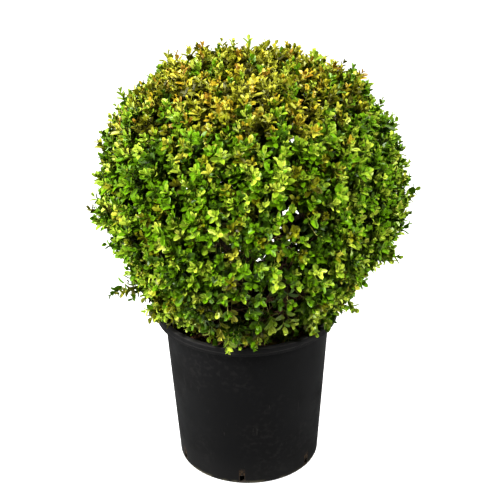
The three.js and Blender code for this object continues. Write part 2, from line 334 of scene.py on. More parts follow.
def slotStain(tree, given):
    # Soil washed out of drainage slots that stand evenly round a pot
    where = objectSpace(tree)
    x, y, z = parts(tree, where)
    turned = calculated(tree, "SUBTRACT", calculated(tree, "ARCTAN2", y, x), given["Turn"])
    half = calculated(tree, "DIVIDE", math.pi, given["Slots"])
    folded = calculated(tree, "WRAP", turned, calculated(tree, "MULTIPLY", half, -1.0), half)
    flat = addNode(tree, "ShaderNodeCombineXYZ", {"X": x, "Y": y}).outputs[0]
    radius = vectorResult(tree, "LENGTH", flat, output="Value")
    aside = calculated(tree, "ABSOLUTE", calculated(tree, "MULTIPLY", folded, radius))
    beside = ramp(tree, aside, given["Near"], given["Spread"], 1.0, 0.0)
    low = ramp(tree, z, given["Full"], given["Top"], 1.0, 0.0)
    patchy = ramp(tree, cloud(tree, where, given["Scale"], 4.0), given["From"], given["To"], kind="LINEAR")
    return calculated(tree, "MULTIPLY", calculated(tree, "MULTIPLY", beside, low), patchy)


def fineGrain(tree, given):
    speckle = cloud(tree, drawnOut(tree, given["Stretch"]), given["Scale"], 4.0)
    bump = {"Height": speckle, "Strength": given["Strength"], "Distance": given["Depth"]}
    return addNode(tree, "ShaderNodeBump", bump).outputs[0]


def newEffect(build, output="Mask", kind="NodeSocketFloat", **inputs):
    # A group that is named after the function that fills it
    group = bpy.data.node_groups.new(build.__name__, "ShaderNodeTree")
    for label, value in inputs.items():
        socket = group.interface.new_socket(name=label, in_out="INPUT", socket_type="NodeSocketFloat")
        socket.default_value = value
    group.interface.new_socket(name=output, in_out="OUTPUT", socket_type=kind)
    given = group.nodes.new("NodeGroupInput").outputs
    result = group.nodes.new("NodeGroupOutput").inputs[output]
    group.links.new(build(group, given), result)
    return group


stainInputs = {"Slots": 6.0, "Turn": 0.0, "Near": 0.004, "Spread": 0.0060, "Full": 0.022, "Top": 0.034}
grainInputs = {"Scale": 900.0, "Stretch": 1.0, "Depth": 0.0002, "Strength": 0.5}
groups = (
    newEffect(farAway, Near=1.0, Far=4.0),
    newEffect(blotches, Scale=20.0, Detail=4.0, From=0.4, To=0.6),
    newEffect(streaks, Scale=60.0, Stretch=0.12, From=0.45, To=0.65),
    newEffect(heightFade, Full=0.0, Gone=0.05),
    newEffect(dust, Amount=0.5, Scale=90.0, From=0.55, To=0.98),
    newEffect(edgeWear, Radius=0.0012, Amount=4.0, Scale=120.0),
    newEffect(slotStain, **stainInputs, Scale=260.0, From=0.35, To=0.65),
    newEffect(fineGrain, "Normal", "NodeSocketVector", **grainInputs),
)
effects = {group.name: group for group in groups}


def newMaterial(name, roughness):
    material = bpy.data.materials.new(name)
    material.use_nodes = True
    shader = material.node_tree.nodes["Principled BSDF"]
    shader.inputs["Roughness"].default_value = roughness
    return material, material.node_tree, shader


def plainMaterial(name, colour, roughness, specular=0.5):
    material, _, shader = newMaterial(name, roughness)
    shader.inputs["Base Color"].default_value = (*colour, 1)
    shader.inputs["Specular IOR Level"].default_value = specular
    return material


def effect(tree, name, **values):
    made = tree.nodes.new("ShaderNodeGroup")
    made.node_tree = effects[name]
    for label, value in values.items():
        made.inputs[label].default_value = value
    return made.outputs[0]


def blend(tree, mask, under, over):
    # The colour under, covered by the colour over as far as the mask goes
    made = addNode(tree, "ShaderNodeMix", {"Factor": mask}, data_type="RGBA")
    colourInputs = [socket for socket in made.inputs if socket.type == "RGBA"]
    for socket, value in zip(colourInputs, (under, over)):
        if isinstance(value, bpy.types.NodeSocket):
            tree.links.new(value, socket)
        else:
            socket.default_value = (*value, 1)
    return next(socket for socket in made.outputs if socket.type == "RGBA")


def between(tree, mask, low, high):
    return addNode(tree, "ShaderNodeMapRange", {"Value": mask, "To Min": low, "To Max": high}).outputs[0]


def connect(tree, shader, colour, roughness, normal):
    for label, value in (("Base Color", colour), ("Roughness", roughness), ("Normal", normal)):
        tree.links.new(value, shader.inputs[label])


# Pot

blackPot = {
    "segments": 192,
    "footRadius": 0.110,
    "baseRadius": 0.1174,
    "footRise": 0.006,
    "shoulderRadius": 0.136,
    "rimBand": 0.013,
    "rimWidth": 0.0105,
    "cove": 0.0016,  # the hollow under the rim band
    "bandEdge": 0.0009,
    "bandLine": 0.0004,  # depth of the moulded line round the band
    "lip": 0.0022,
    "innerLip": 0.0018,
    "wall": 0.0025,
    "floor": 0.003,
    "slots": 6,
    "slotTurn": -96.0,
    "slotWidth": 0.008,
    "slotHeight": 0.013,
    "slotLift": 0.005,
    "slotTopRounding": 0.0022,
    "slotFootRounding": 0.0008,
    "grooveHeight": 0.010,
    "grooveWidth": 0.0022,
    "grooveDepth": 0.0013,
    "cutDepth": 0.024,
    "plastic": (0.0044, 0.0045, 0.0048),
    # this colour is scuffed wear, and on the rounded edges it also serves as a painted highlight
    "wornAndHighlight": (0.050, 0.046, 0.042),
    # soil splashed on the foot, which also serves as a painted highlight along the foot's rounded edge
    "footSplashAndHighlight": (0.115, 0.105, 0.070),
    "washedSoil": (0.070, 0.043, 0.022),
    "dust": (0.062, 0.059, 0.056),
    "rimFilm": (0.0120, 0.0115, 0.0115),
    "film": (0.0074, 0.0071, 0.0068),
    "mottle": (0.0150, 0.0143, 0.0138),
    "roughness": (0.52, 0.70),
    "specular": 0.10,
}


def arc(centre, radius, fromDegrees, toDegrees, steps):
    turns = np.radians(np.linspace(fromDegrees, toDegrees, steps))
    return [(centre[0] + radius * math.cos(t), centre[1] + radius * math.sin(t)) for t in turns]


def potProfile():
    top = potHigh.z
    rim = potHigh.x
    bandFoot = top - blackPot["rimBand"]
    inner = rim - blackPot["rimWidth"]
    wall = blackPot["wall"]
    shoulder = blackPot["shoulderRadius"]
    base = blackPot["baseRadius"]
    rise = blackPot["footRise"]
    cove = blackPot["cove"]
    edge = blackPot["bandEdge"]
    line = blackPot["bandLine"]
    lip = blackPot["lip"]
    wallTop = bandFoot - 0.003
    wallRows = [(base + (shoulder - base) * s, rise + (wallTop - rise) * s) for s in np.linspace(0, 1, 9)]
    return [
        (0, 0),
        (blackPot["footRadius"], 0),
        *arc((base - rise, rise), rise, -80, -8, 6),
        *wallRows,
        *arc((shoulder + cove, bandFoot - cove), cove, 180, 90, 4),
        *arc((rim - edge, bandFoot + edge), edge, -80, 0, 4),
        (rim, bandFoot + 0.0048),
        (rim - line, bandFoot + 0.0053),
        (rim - line, bandFoot + 0.0062),
        (rim - line / 2, bandFoot + 0.0067),
        *arc((rim - lip - line / 2, top - lip), lip, 0, 84, 6),
        (rim - 0.0052, top - 0.0003),
        *arc((inner + 0.0020, top - 0.0020), blackPot["innerLip"], 90, 172, 6),
        (inner - 0.0004, top - 0.006),
        (shoulder - wall, bandFoot - wall),
        (base - wall, rise + blackPot["floor"]),
        (blackPot["footRadius"] - wall, blackPot["floor"]),
        (0, blackPot["floor"]),
    ]


def prism(outline, sweep):
    # A flat outline of points and the direction that it is swept along
    outline = np.array(outline)
    here = np.arange(len(outline))
    faceSets = [ringQuads(1, len(outline)), here[::-1][None], (here + len(outline))[None]]
    return np.concatenate([outline, outline + sweep]), faceSets


def slotCutter():
    # Every slot, and the faint groove over it
    width = blackPot["slotWidth"] / 2
    foot = blackPot["slotLift"]
    head = foot + blackPot["slotHeight"]
    high = blackPot["slotTopRounding"]
    low = blackPot["slotFootRounding"]
    slot = [
        *arc((width - high, head - high), high, 0, 90, 4),
        *arc((high - width, head - high), high, 90, 180, 4),
        *arc((low - width, foot + low), low, 180, 270, 3),
        *arc((width - low, foot + low), low, 270, 360, 3),
    ]
    through = blackPot["cutDepth"]
    near = blackPot["baseRadius"] - through / 2
    slope = (blackPot["shoulderRadius"] - blackPot["baseRadius"]) / (potHigh.z - blackPot["rimBand"])
    wallAt = blackPot["baseRadius"] + slope * (head - blackPot["footRise"])
    rise = blackPot["grooveHeight"]
    half = blackPot["grooveWidth"] / 2
    clear = 0.004
    groove = [
        (wallAt - blackPot["grooveDepth"], head - 0.001),  # it starts just inside the slot
        (wallAt + clear, head - 0.001),
        (wallAt + slope * rise + clear, head + rise),
        (wallAt + slope * rise + 0.0002, head + rise),  # and runs out at the wall
    ]
    vertices, faceSets = [], []
    up = np.array([0, 0, 1])
    for turn in np.radians(blackPot["slotTurn"] + 360 / blackPot["slots"] * np.arange(blackPot["slots"])):
        out = np.array([math.cos(turn), math.sin(turn), 0])
        side = np.array([-math.sin(turn), math.cos(turn), 0])
        hole = [out * near + side * across + up * height for across, height in slot]
        line = [out * radius + side * half + up * height for radius, height in groove]
        for points, faces in (prism(hole, out * through), prism(line, side * -half * 2)):
            offset = sum(len(v) for v in vertices)
            vertices.append(points)
            faceSets += [face + offset for face in faces]
    cutter = meshObject("slot_cutter", np.concatenate(vertices), faceSets, smooth=False)
    bpy.context.view_layer.update()
    return cutter


def makePotPlastic():
    material, tree, shader = newMaterial("black_moulded_plastic", 0.5)
    film = effect(tree, "blotches", Scale=14.0, Detail=5.0, From=0.42, To=0.72)
    grime = effect(tree, "blotches", Scale=120.0, Detail=8.0, From=0.46, To=0.70)
    handled = effect(tree, "blotches", Scale=8.0, Detail=2.0, From=0.40, To=0.60)
    onRim = effect(tree, "heightFade", Full=potHigh.z - 0.010, Gone=potHigh.z - 0.015)
    lowDown = effect(tree, "heightFade", Full=0.004, Gone=0.070)
    scuffs = effect(tree, "streaks", Scale=260.0, Stretch=0.16, From=0.64, To=0.74)
    patches = effect(tree, "blotches", Scale=30.0, Detail=3.0, From=0.52, To=0.62)
    footBand = effect(tree, "heightFade", Full=0.0030, Gone=0.0090)
    footPatches = effect(tree, "blotches", Scale=34.0, Detail=6.0, From=0.38, To=0.60)
    stain = effect(tree, "slotStain", Slots=float(blackPot["slots"]), Turn=math.radians(blackPot["slotTurn"]))
    coats = [  # where each coat lies, its colour, and how far it covers
        (film, "film", 0.45),
        (calculated(tree, "MULTIPLY", grime, handled), "mottle", 0.6),
        (onRim, "rimFilm", 0.5),
        (lowDown, "mottle", 0.4),
        (calculated(tree, "MULTIPLY", scuffs, patches), "wornAndHighlight", 0.32),
        # Soil splash on the foot's lowest few millimetres, which also serves as a painted highlight along the
        # foot's rounded edge
        (calculated(tree, "MULTIPLY", footBand, footPatches), "footSplashAndHighlight", 0.8),
        (stain, "washedSoil", 0.9),
        (effect(tree, "dust", Amount=1.1, Scale=70.0), "dust", 1.0),
        # Wear on the rounded edges, which also serves as a painted highlight along the rim's edges
        (effect(tree, "edgeWear", Radius=0.0014, Amount=5.0, Scale=160.0), "wornAndHighlight", 1.0),
    ]
    colour = blackPot["plastic"]
    for mask, coat, cover in coats:
        colour = blend(tree, between(tree, mask, 0.0, cover), colour, blackPot[coat])
    grain = effect(tree, "fineGrain", Scale=1400.0, Depth=0.00012, Strength=0.4)
    connect(tree, shader, colour, between(tree, film, *blackPot["roughness"]), grain)
    shader.inputs["Specular IOR Level"].default_value = blackPot["specular"]
    return material


def makePot():
    vertices, faceSets = lathe(potProfile(), blackPot["segments"])
    pot = meshObject("pot_shell", vertices, faceSets)
    cutter = slotCutter()
    cut = pot.modifiers.new("slots", "BOOLEAN")
    cut.object = cutter
    cut.operation = "DIFFERENCE"
    cut.solver = "MANIFOLD"
    made = bpy.data.meshes.new_from_object(pot.evaluated_get(bpy.context.evaluated_depsgraph_get()))
    pot.modifiers.clear()
    pot.data = made
    pot.data.materials.clear()
    bpy.data.objects.remove(cutter)
    pot.data.set_sharp_from_angle(angle=math.radians(38))
    place(pot, [makePotPlastic()], ["pot"])


# Potting mix

barkMix = {
    "segments": 160,
    "rows": 34,
    "relief": 0.0032,
    "heaps": (22, 0.7),  # how fine, and their share of the relief
    "lumps": (120, 0.6),
    "lowered": 0.0005,
    "washedOut": 0.008,  # how far it has settled away behind the drainage slots
    "chips": 2600,
    "chipLength": (0.004, 0.013),
    "paleGrains": 40,
    "fallenLeaves": 34,
    "seed": 11,
    "damp": (0.030, 0.016, 0.009),
    "dry": (0.210, 0.110, 0.056),
    "chip": (0.300, 0.140, 0.062),
    "chipDark": (0.070, 0.036, 0.020),
    "grain": (0.55, 0.52, 0.46),
}


def makeMixMaterial():
    material, tree, shader = newMaterial("damp_bark_mix", 0.9)
    clumps = effect(tree, "blotches", Scale=120.0, Detail=8.0, From=0.40, To=0.64)
    colour = blend(tree, clumps, barkMix["damp"], barkMix["dry"])
    grain = effect(tree, "fineGrain", Scale=420.0, Depth=0.0016, Strength=0.9)
    connect(tree, shader, colour, between(tree, clumps, 0.7, 0.96), grain)
    return material


def makeChipMaterial():
    material, tree, shader = newMaterial("bark_chip", 0.8)
    tone = effect(tree, "blotches", Scale=110.0, Detail=2.0, From=0.40, To=0.60)
    colour = blend(tree, tone, barkMix["chipDark"], barkMix["chip"])
    wear = effect(tree, "edgeWear", Radius=0.0006, Amount=2.0, Scale=300.0)
    colour = blend(tree, wear, colour, barkMix["dry"])
    grain = effect(tree, "fineGrain", Scale=700.0, Depth=0.0008, Strength=0.7)
    connect(tree, shader, colour, between(tree, tone, 0.6, 0.9), grain)
    return material


def mixHeight(x, y):
    fine, share = barkMix["heaps"]
    heaps = share * noise.noise(Vector((x * fine, y * fine, 0.3)))
    fine, share = barkMix["lumps"]
    lumps = share * noise.noise(Vector((x * fine, y * fine, 4.1)))
    return mixHigh.z - barkMix["lowered"] + barkMix["relief"] * (heaps + lumps)


def makeMixBed():
    foot = blackPot["footRadius"] - blackPot["wall"] - barkMix["washedOut"]
    slotTop = blackPot["slotLift"] + blackPot["slotHeight"]
    wallAtSlots = blackPot["baseRadius"] - blackPot["wall"] - 0.001
    profile = [(0, mixLow.z), (foot, mixLow.z), (foot, slotTop), (wallAtSlots, slotTop + 0.010)]
    profile += [(radius, mixHigh.z) for radius in np.linspace(mixHigh.x, 0.002, barkMix["rows"])]
    profile.append((0, mixHigh.z))
    vertices, faceSets = lathe(profile, barkMix["segments"])
    for vertex in vertices:
        if vertex[2] > mixHigh.z - 0.001:
            vertex[2] = mixHeight(vertex[0], vertex[1])
    place(meshObject("mix_bed", vertices, faceSets), [makeMixMaterial()], ["potting_mix"])


def turnedBasis(numbers, count, flatness):
    # Random upright frames, tilted a little off level
    turn = numbers.uniform(0, 2 * math.pi, count)
    lean = numbers.normal(0, flatness, (count, 2))
    along = unit(np.stack([np.cos(turn), np.sin(turn), lean[:, 0]], -1))
    face = unit(np.stack([-lean[:, 0] * np.cos(turn), lean[:, 1], np.ones(count)], -1))
    across = unit(np.cross(face, along))
    return along, across, np.cross(along, across)


def scatterOnMix(numbers, count, lift):
    radius = np.sqrt(numbers.uniform(0.01, 1, count)) * (mixHigh.x - 0.005)
    turn = numbers.uniform(0, 2 * math.pi, count)
    spots = np.stack([radius * np.cos(turn), radius * np.sin(turn)], -1)
    heights = np.array([mixHeight(x, y) for x, y in spots]) + lift
    return np.concatenate([spots, heights[:, None]], -1)


def makeChips():
    numbers = np.random.default_rng(barkMix["seed"])
    count = barkMix["chips"]
    length = numbers.uniform(*barkMix["chipLength"], (count, 1))
    size = length * numbers.uniform([1, 0.3, 0.12], [1, 0.7, 0.3], (count, 3))
    pale = numbers.choice(count, barkMix["paleGrains"], replace=False)
    size[pale] = numbers.uniform(0.0015, 0.003, (len(pale), 3))
    axes = turnedBasis(numbers, count, 0.28)
    middle = scatterOnMix(numbers, count, 0.0006)
    signs = np.array([(x, y, z) for z in (-1, 1) for y in (-1, 1) for x in (-1, 1)]) * 0.5
    corners = signs[None] * numbers.uniform(0.6, 1.0, (count, 8, 1)) * size[:, None]
    vertices = middle[:, None] + sum(corners[..., [i]] * axis[:, None] for i, axis in enumerate(axes))
    block = np.array([(0, 2, 3, 1), (4, 5, 7, 6), (0, 1, 5, 4), (2, 6, 7, 3), (0, 4, 6, 2), (1, 3, 7, 5)])
    tints = np.repeat(np.isin(np.arange(count), pale), len(block))
    chips = meshObject("bark_chips", vertices, [repeated(block, count, 8)], tints, smooth=False)
    grain = plainMaterial("pale_grain", barkMix["grain"], 0.9)
    place(chips, [makeChipMaterial(), grain])


# Crown: its outline, the space of each mass, and directions spread over it

crown = {
    "centre": (0.009, 0.0, 0.471),
    "radius": 0.244,
    "rise": 0.227,
    "drop": 0.262,
    "shoulderPower": 2.35,
    "undersidePower": 1.6,
    "lowestTilt": 152.0,
    "rings": (("top", 1, 0, 0), ("upper", 5, 58, -90), ("lower", 5, 112, -54)),
    "seed": 2031,
}
crownCentre = np.array(crown["centre"])


def direction(tilt, turn):
    tilt, turn = np.radians(tilt), np.radians(turn)
    return np.stack([np.sin(tilt) * np.cos(turn), np.sin(tilt) * np.sin(turn), np.cos(tilt)], -1)


def reach(toward):
    across = np.hypot(toward[..., 0], toward[..., 1])
    upper = toward[..., 2] > 0
    power = np.where(upper, crown["shoulderPower"], crown["undersidePower"])
    height = np.where(upper, crown["rise"], crown["drop"])
    share = (across / crown["radius"]) ** power + (np.abs(toward[..., 2]) / height) ** power
    return share ** (-1 / power)


def atReach(toward, share):
    return crownCentre + toward * (reach(toward) * share)[..., None]


def seededNumbers(seed):
    state = seed
    while True:
        state = state * 48271 % 2147483647
        yield state / 2147483647


def evenDirections(count, numbers):
    steps = np.arange(count)
    spread = 1 - math.cos(math.radians(crown["lowestTilt"]))
    tilt = np.arccos(1 - (steps + 0.5) / count * spread)
    jitter = np.array([next(numbers) for _ in range(count)])
    turn = steps * goldenAngle + 0.5 * (jitter - 0.5)
    return direction(np.degrees(tilt), np.degrees(turn))


masses = []
for ring, count, tilt, turn in crown["rings"]:
    for i in range(count):
        name = f"{ring}_{i + 1}" if count > 1 else ring
        toward = direction(tilt, turn + 360 / count * i)
        masses.append({"name": name, "ring": ring, "index": i, "toward": toward})
massDirections = np.array([mass["toward"] for mass in masses])


# Limbs with the relief of bark

limbs = {
    "trunkLength": 0.140,
    "trunkFoot": 0.0125,
    "trunkTip": 0.008,
    "rootFlare": 0.0065,
    "flareShare": 0.16,  # how much of the trunk's length it takes
    "boughRise": 1.15,
    "boughEase": (0.35, 0.3),  # how far it keeps to its course as it leaves and as it arrives
    "boughTaper": 0.62,
    "boughFoot": {"top": 0.0070, "upper": 0.0054, "lower": 0.0058},
    "boughHeight": {"top": 0.140, "upper": 0.084, "lower": 0.034},
    "boughStep": {"top": 0, "upper": 0.009, "lower": 0.007},
    "stemReach": 0.5,
    "sides": 28,
    "ringGap": 0.0022,
    "relief": 0.13,  # share of the radius
    "ridges": (3.2, 45),  # how fine, round the limb and along it
    "knots": (1.1, 25),
    "ridge": (0.20, 0.145, 0.085),
    "furrow": (0.045, 0.028, 0.016),
    "lichen": (0.27, 0.26, 0.17),
    "soil": (0.030, 0.018, 0.010),
}


def makeBark():
    material, tree, shader = newMaterial("cracked_bark", 0.85)
    furrows = effect(tree, "streaks", Scale=380.0, Stretch=0.22, From=0.38, To=0.62)
    lichen = effect(tree, "blotches", Scale=95.0, Detail=5.0, From=0.56, To=0.68)
    soil = effect(tree, "heightFade", Full=mixHigh.z, Gone=mixHigh.z + 0.03)
    colour = blend(tree, furrows, limbs["furrow"], limbs["ridge"])
    colour = blend(tree, between(tree, lichen, 0.0, 0.5), colour, limbs["lichen"])
    colour = blend(tree, soil, colour, limbs["soil"])
    grain = effect(tree, "fineGrain", Scale=900.0, Stretch=0.3, Depth=0.0006, Strength=0.8)
    connect(tree, shader, colour, between(tree, furrows, 0.95, 0.75), grain)
    return material


def bezier(points, shares):
    # A smooth curve of three or four control points
    points = np.array(points, dtype=float)
    degree = len(points) - 1
    shares = np.asarray(shares, dtype=float)[..., None]
    weights = [math.comb(degree, i) * shares**i * (1 - shares) ** (degree - i) for i in range(degree + 1)]
    return sum(weight * point for weight, point in zip(weights, points))


def barkNoise(kind, spoke, centre, seed):
    fineRound, fineAlong = limbs[kind]
    return noise.noise(Vector(spoke * fineRound + centre * fineAlong + seed))


def barkLimb(node, points, foot, tip, seed, material, flare=0.0):
    length = np.linalg.norm(np.diff(np.array(points), axis=0), axis=1).sum()
    shares = np.linspace(0, 1, max(6, int(length / limbs["ringGap"])))
    path = bezier(points, shares)
    tangents = unit(np.gradient(path, axis=0))
    side = unit(np.cross(tangents[0], [0.3, 0.9, 0.1]))
    turns = np.arange(limbs["sides"]) * 2 * math.pi / limbs["sides"]
    rings = []
    for share, centre, tangent in zip(shares, path, tangents):
        side = unit(side - tangent * np.dot(side, tangent))
        other = np.cross(tangent, side)
        radius = foot + (tip - foot) * share + flare * max(0, 1 - share / limbs["flareShare"]) ** 2
        for turn in turns:
            spoke = math.cos(turn) * side + math.sin(turn) * other
            ridges = barkNoise("ridges", spoke, centre, seed)
            knots = barkNoise("knots", spoke, centre, seed)
            rings.append(centre + spoke * radius * (1 - limbs["relief"] * (0.55 - ridges - 0.5 * knots)))
    piece = meshObject("bark_" + node, [*rings, path[0], path[-1]], cappedFaces(len(shares), limbs["sides"]))
    place(piece, [material], [node])


trunkFoot = np.array([0, 0, mixHigh.z + 0.0003])
trunkTop = np.array([crownCentre[0], 0, trunkFoot[2] + limbs["trunkLength"]])
trunkPoints = [trunkFoot, np.array([-0.003, 0.002, trunkFoot[2] + limbs["trunkLength"] / 2]), trunkTop]


def boughPoints(mass):
    ring = mass["ring"]
    height = limbs["boughHeight"][ring] + limbs["boughStep"][ring] * mass["index"]
    start = bezier(trunkPoints, min(1, height / limbs["trunkLength"]))
    end = atReach(mass["toward"], limbs["stemReach"])
    span = np.linalg.norm(end - start)
    leaving = unit(mass["toward"] * [1, 1, 0] + [0, 0, limbs["boughRise"]])
    near, far = limbs["boughEase"]
    return [start, start + leaving * span * near, end - mass["toward"] * span * far, end]


def makeLimbs():
    bark = makeBark()
    barkLimb("trunk", trunkPoints, limbs["trunkFoot"], limbs["trunkTip"], 3.0, bark, limbs["rootFlare"])
    for order, mass in enumerate(masses):
        foot = limbs["boughFoot"][mass["ring"]]
        tip = foot * limbs["boughTaper"]
        barkLimb("bough_" + mass["name"], boughPoints(mass), foot, tip, 5.0 + order, bark)


# Twigs, from the boughs' tips out to the shoots

growth = {
    "forksPerMass": 5,
    "stemShort": 0.04,  # how much sooner the stems end than the forks
    "forkReach": 0.64,
    "forkSpread": 0.3,
    "forkLift": 0.006,
    "sprays": 89,
    "sprayReach": 0.84,
    "sprayWander": 0.006,
    "edgeRoom": 0.085,
    "branchlets": 1000,
    "branchletFoot": (0.15, 0.9),  # where they leave their spray
    "branchletReach": (0.76, 0.88),
    "branchletLift": 0.008,
    "branchletWander": 0.004,
    "shoots": 4400,
    "shootFoot": (0.35, 1.0),
    "shootJitter": 0.018,
    "shootReach": (0.965, 0.022),  # mean and spread of the tips, as shares of the outline
    "clumps": 0.02,  # how unevenly the shoots of different twigs have grown
    "longShoots": 0.03,  # share of the shoots that have outgrown the clipping
    "longBy": (0.03, 0.07),
    "shortestReach": 0.86,
    "fullestReach": 1.055,
    "furthestOut": 0.023,  # how far past the solids' box a leaf may stand
    "tipRoom": 0.008,  # how much less far a shoot may
    "upwardPull": 0.85,
    "leastPull": 0.15,
    "wander": 0.22,
    "sides": 3,  # of every twig
    # Radius at the foot and the tip, steps along it, and 1 where it is green
    "levels": (
        (0.0036, 0.0029, 4, 0),  # stems
        (0.0029, 0.0021, 4, 0),  # forks
        (0.0021, 0.0013, 4, 0),  # sprays
        (0.0013, 0.00096, 4, 0),  # branchlets
        (0.0008, 0.00048, 2, 1),  # shoots
    ),
    "seed": 7,
    "potClear": 0.0012,  # how far shoots and leaves keep from the pot
    "mouthClear": 0.004,  # from the inside of its rim
    "mixClear": 0.003,
    "brown": (0.20, 0.115, 0.062),
    "green": (0.34, 0.34, 0.075),
    # Where the crown is thin: tilt, turn, half angle in degrees, and the share of shoots there
    "thinSpots": (
        (66, -81, 4, 0.26), (69, -76, 6, 0.12), (74, -73, 6, 0.12), (79, -78, 6, 0.12), (81, -71, 5, 0.16),
        (85, -77, 5, 0.14), (87, -84, 4, 0.24), (88, -92, 5, 0.24), (88, -77, 5, 0.18), (93, -68, 4, 0.26),
        (84, -108, 4, 0.34), (102, -92, 12, 0.26), (110, -78, 14, 0.16), (118, -98, 14, 0.15),
        (130, -80, 16, 0.12), (138, -104, 14, 0.12), (150, -95, 14, 0.13), (146, -50, 8, 0.30),
        (149, -134, 12, 0.13), (113, 81, 5, 0.38), (120, 73, 6, 0.42), (132, 76, 8, 0.28),
        (138, 64, 7, 0.24), (142, 82, 8, 0.24), (142, 96, 6, 0.28), (142, 45, 6, 0.30), (136, 122, 6, 0.28),
    ),
    "thinEdge": (0.75, 1.25),  # where a thin spot starts to fade and where it ends, in half angles
    "thinBare": 0.22,  # share of the deeper leaves on the shoots of the thinnest spots
    # Where the outline bulges or falls back: tilt, turn, width in degrees, share of the outline
    "swells": (
        (48, 176, 24, 0.025), (22, 172, 14, 0.03), (26, 18, 18, 0.045), (45, 18, 10, 0.035), (62, 6, 8, 0.02),
        (110, -166, 15, -0.065), (124, -24, 17, -0.07), (86, -6, 16, 0.02), (24, 100, 18, 0.012),
    ),
    # Shoots placed one by one: tilt, turn, share of the outline, and upward pull
    "strays": (
        (29, 110, 1.07, 0.6), (28, 90, 1.05, 0.7), (29, 69, 1.04, 0.6), (29, 60, 1.03, 0.6),  # top
        (41, 29, 1.06, 0.5), (31, 124, 1.06, 0.7), (36, 139, 1.05, 0.7), (44, 25, 1.06, 0.7),
        (92, -10, 1.02, 0.3), (52, 165, 1.07, 0.6), (68, 177, 1.05, 0.5), (90, -174, 1.03, 0.3),  # sides
        (94, -170, 1.0, 0.2), (85, -5, 1.05, 0.3), (89, -6, 1.0, 0.5), (105, -20, 1.05, 0.2),
        (107, -16, 1.0, 0.2), (106, -22, 1.02, 0.2),
        (116, -157, 1.16, 0.1), (117, -156, 1.11, 0.1), (119, -157, 1.06, 0.0),  # the longest, and below it
        (121, -154, 1.07, 0.0), (124, -153, 1.04, -0.1), (127, -150, 1.06, 0.0), (130, -148, 1.03, 0.0),
        (129, -30, 1.03, 0.1),
        (54, -120, 0.96, 0.8), (57, -122, 0.97, 0.8), (60, -118, 0.97, 0.8),  # these fill a gap
        (62, -121, 0.96, 0.8), (64, -117, 0.97, 0.8),
    ),
    # Tufts that hang over the rim: how many shoots, and the mean and spread of tilt, turn and share
    "overhangs": ((18, (140, 4), (-105, 5), (1.03, 0.03)), (10, (141, 4), (-86, 5), (1.0, 0.02))),
    "hangingPull": -0.25,
}


def smoothStep(values, low, high):
    share = np.clip((values - low) / (high - low), 0, 1)
    return share * share * (3 - 2 * share)


def nearest(directions, parents, groups=None, parentGroups=None):
    likeness = directions @ parents.T
    if groups is not None:
        likeness = np.where(groups[:, None] == parentGroups[None], likeness, -2)
    return likeness.argmax(1)


def drawnIn(toward, owner):
    # Sprays near the edge of their mass's space lean in, as the solid ones do
    drawn = toward.copy()
    for i, mass in enumerate(masses):
        for other in masses:
            if other is mass:
                continue
            wall = unit(mass["toward"] - other["toward"])
            lacking = np.where(owner == i, growth["edgeRoom"] - drawn @ wall, 0)
            drawn += np.maximum(lacking, 0)[:, None] * wall
    return unit(drawn)


def keptApart(points):
    # True for points that stay out of the pot's wall, its rim and the mix
    radial = np.hypot(points[..., 0], points[..., 1])
    height = points[..., 2]
    inMouth = radial < potHigh.x - blackPot["rimWidth"] - growth["mouthClear"]
    inMouth &= height > mixHigh.z + growth["mixClear"]
    clear = growth["potClear"]
    return (height > potHigh.z + clear) | (radial > potHigh.x + clear) | inMouth


def withinReach(points, room=0.0):
    # True for points that stand hardly further out than the solids do
    low = np.array(cadBounds[0]) - growth["furthestOut"] + room
    high = np.array(cadBounds[1]) + growth["furthestOut"] - room
    return ((points > low) & (points < high)).all(-1)


def degreesFrom(toward, tilt, turn):
    return np.degrees(np.arccos(np.clip(toward @ direction(tilt, turn), -1, 1)))


def shootPlaces(numbers, rule):
    # The direction, share of the outline, upward pull and leafiness of every shoot
    count = growth["shoots"]
    shoot = unit(evenDirections(count, rule) + numbers.normal(0, growth["shootJitter"], (count, 3)))
    full = np.ones(count)
    near, far = growth["thinEdge"]
    for tilt, turn, halfAngle, kept in growth["thinSpots"]:
        inside = smoothStep(degreesFrom(shoot, tilt, turn), near * halfAngle, far * halfAngle)
        full = np.minimum(full, kept + (1 - kept) * inside)
    keep = numbers.random(count) < full
    shoot, full = shoot[keep], full[keep]
    share = numbers.normal(*growth["shootReach"], len(shoot))
    isLong = numbers.random(len(shoot)) < growth["longShoots"]
    share += isLong * numbers.uniform(*growth["longBy"], len(shoot))
    for tilt, turn, width, amount in growth["swells"]:
        share += amount * np.exp(-((degreesFrom(shoot, tilt, turn) / width) ** 2))
    share = np.clip(share, growth["shortestReach"], growth["fullestReach"])
    pull = growth["upwardPull"] * np.clip(1 + shoot[:, 2], growth["leastPull"], 1.0)
    placed = list(growth["strays"])
    for count, *spreads in growth["overhangs"]:
        hanging = [numbers.normal(*spread, count) for spread in spreads]
        placed += zip(*hanging, [growth["hangingPull"]] * count)
    tilt, turn, placedShare, placedPull = np.array(placed, dtype=float).T
    shoot = np.concatenate([shoot, direction(tilt, turn)])
    share = np.concatenate([share, placedShare])
    pull = np.concatenate([pull, placedPull])
    return shoot, share, pull, np.concatenate([full, np.ones(len(placed))])


def forkDirections():
    turns = np.arange(growth["forksPerMass"]) / growth["forksPerMass"] * 2 * math.pi
    forks = []
    for toward in massDirections:
        side = unit(np.cross([0, 1, 0], toward))
        forks.append(unit(toward + growth["forkSpread"] * around(turns, side, np.cross(toward, side))))
    return np.concatenate(forks), np.repeat(np.arange(len(masses)), growth["forksPerMass"])


